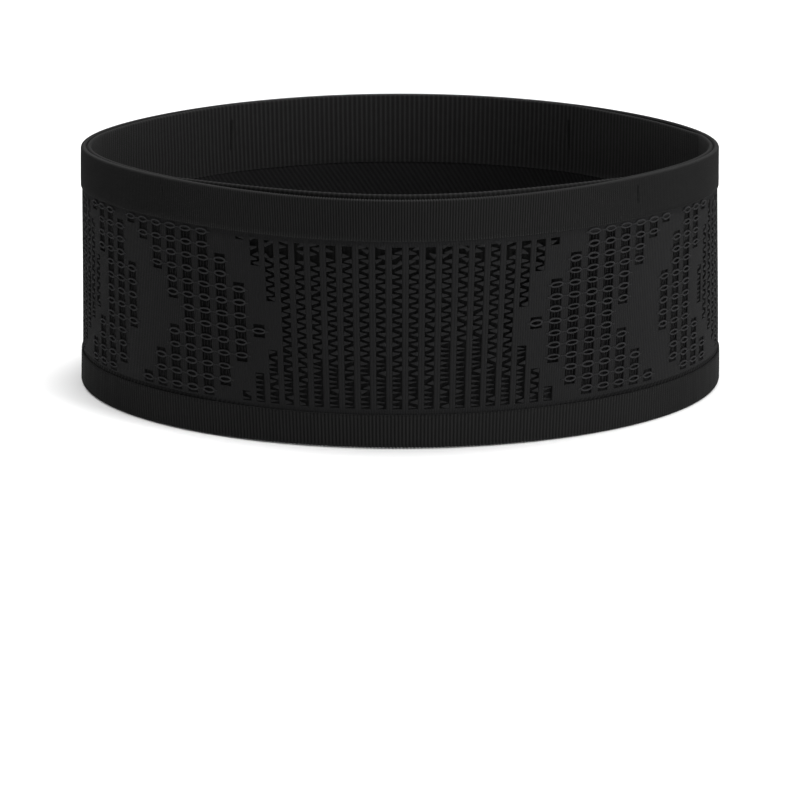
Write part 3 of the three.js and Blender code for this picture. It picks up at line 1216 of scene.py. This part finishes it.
class WAISTBAND_OT_bartacks(bpy.types.Operator):
    """Sew the four bartacks that hold the two layers together at the rim"""

    bl_idname = "waistband.bartacks"
    bl_label = "Bartacks"

    def execute(self, context):
        sizes = context.scene.waistband_knit
        for name, turn, layer, out in (
            ("bartack_front_right", FRONT_TACK, outer_layer, 0.1 * MM),
            ("bartack_front_left", -FRONT_TACK, outer_layer, -0.05 * MM),
            ("bartack_back_right", BACK_TACK, inner_layer, -0.72 * MM),
            ("bartack_back_left", -BACK_TACK, inner_layer, -0.72 * MM),
        ):
            low, high = heights(name)
            count = int((high - low) / TACK_STITCH)
            points = []
            for number in range(count):
                y = low + (number + 0.5) * TACK_STITCH
                lean = math.degrees(fan(math.radians(turn), y))
                points.append((along(turn - lean), y, out))
            mesh = beads(
                points, (1.7 * MM, 0.5 * MM, 0.5 * MM), "sewing_thread", lean=np.full(count, 0.12),
                uneven=0.12, seed=sizes.seed + 3,
            )
            place_piece(name + "_stitches", mesh, layer, [name])
        return {"FINISHED"}


FLOOR_REACH = 24.0
# The floor lies just under the hem, so that the two do not flicker through each other.
FLOOR_LOW = -0.2 * MM
WORLD_LIGHT = 0.25
# Each light: its name, place, size and power in watts. All aim at the middle of the band's foot.
LIGHTS = (
    ("top light", (0.0, 0.3, 2.4), 1.2, 72.0),
    ("key light", (1.7, -1.2, 1.3), 0.8, 26.0),
    ("side light", (1.2, -0.5, 0.3), 0.6, 9.0),
    ("front light", (0.0, -1.9, 0.15), 0.5, 23.0),
)
CAMERA_PLACE = (0.0, -1.3633, 0.3457)
CAMERA_LENS = 169.4
CAMERA_DOWN = 14.64


class WAISTBAND_OT_stage(bpy.types.Operator):
    """Set the pale floor, the soft studio lights and the camera"""

    bl_idname = "waistband.stage"
    bl_label = "Stage"

    def execute(self, context):
        scene = context.scene
        mesh = bpy.data.meshes.new("floor")
        turns = ((-1, -1), (1, -1), (1, 1), (-1, 1))
        corners = [(x * FLOOR_REACH, y * FLOOR_REACH, FLOOR_LOW) for x, y in turns]
        mesh.from_pydata(corners, [], [(0, 1, 2, 3)])
        mesh.materials.append(floor_material(scene.waistband_yarns.floor))
        floor = bpy.data.objects.new("floor", mesh)
        scene.collection.objects.link(floor)
        world = bpy.data.worlds.new("studio")
        world.use_nodes = True
        sky = world.node_tree.nodes["Background"].inputs
        sky["Color"].default_value = (1, 1, 1, 1)
        sky["Strength"].default_value = WORLD_LIGHT
        scene.world = world
        for name, place, size, power in LIGHTS:
            lamp = bpy.data.lights.new(name, "AREA")
            lamp.energy = power
            lamp.size = size
            light = bpy.data.objects.new(name, lamp)
            light.location = place
            aim = (-light.location).to_track_quat("-Z", "Y")
            light.rotation_euler = aim.to_euler()
            scene.collection.objects.link(light)
        camera = bpy.data.cameras.new("camera")
        camera.lens = CAMERA_LENS
        camera.sensor_width = 36.0
        view = bpy.data.objects.new("camera", camera)
        view.location = CAMERA_PLACE
        view.rotation_euler = (math.pi / 2 - math.radians(CAMERA_DOWN), 0.0, 0.0)
        scene.collection.objects.link(view)
        scene.camera = view
        scene.view_settings.view_transform = "Standard"
        return {"FINISHED"}


MAKERS = (
    WAISTBAND_OT_body,
    WAISTBAND_OT_mesh,
    WAISTBAND_OT_eyelets,
    WAISTBAND_OT_top_welt,
    WAISTBAND_OT_inner_band,
    WAISTBAND_OT_lining,
    WAISTBAND_OT_bottom_welt,
    WAISTBAND_OT_elastics,
    WAISTBAND_OT_seams,
    WAISTBAND_OT_bartacks,
    WAISTBAND_OT_stage,
)


class WAISTBAND_PT_panel(bpy.types.Panel):
    """The sidebar panel: every maker, then the sizes and colours"""

    bl_label = "Knitted waistband"
    bl_idname = "WAISTBAND_PT_panel"
    bl_space_type = "VIEW_3D"
    bl_region_type = "UI"
    bl_category = "Waistband"

    def draw(self, context):
        for maker in MAKERS:
            self.layout.operator(maker.bl_idname)
        for group in (context.scene.waistband_knit, context.scene.waistband_yarns):
            for name in group.__annotations__:
                self.layout.prop(group, name)


CLASSES = (KnitSizes, YarnColours, *MAKERS, WAISTBAND_PT_panel)


def register():
    for kind in CLASSES:
        bpy.utils.register_class(kind)
    bpy.types.Scene.waistband_knit = PointerProperty(type=KnitSizes)
    bpy.types.Scene.waistband_yarns = PointerProperty(type=YarnColours)


def unregister():
    del bpy.types.Scene.waistband_yarns
    del bpy.types.Scene.waistband_knit
    for kind in reversed(CLASSES):
        bpy.utils.unregister_class(kind)


def main():
    register()
    for maker in MAKERS:
        group, name = maker.bl_idname.split(".")
        getattr(getattr(bpy.ops, group), name)()


if __name__ == "__main__":
    main()
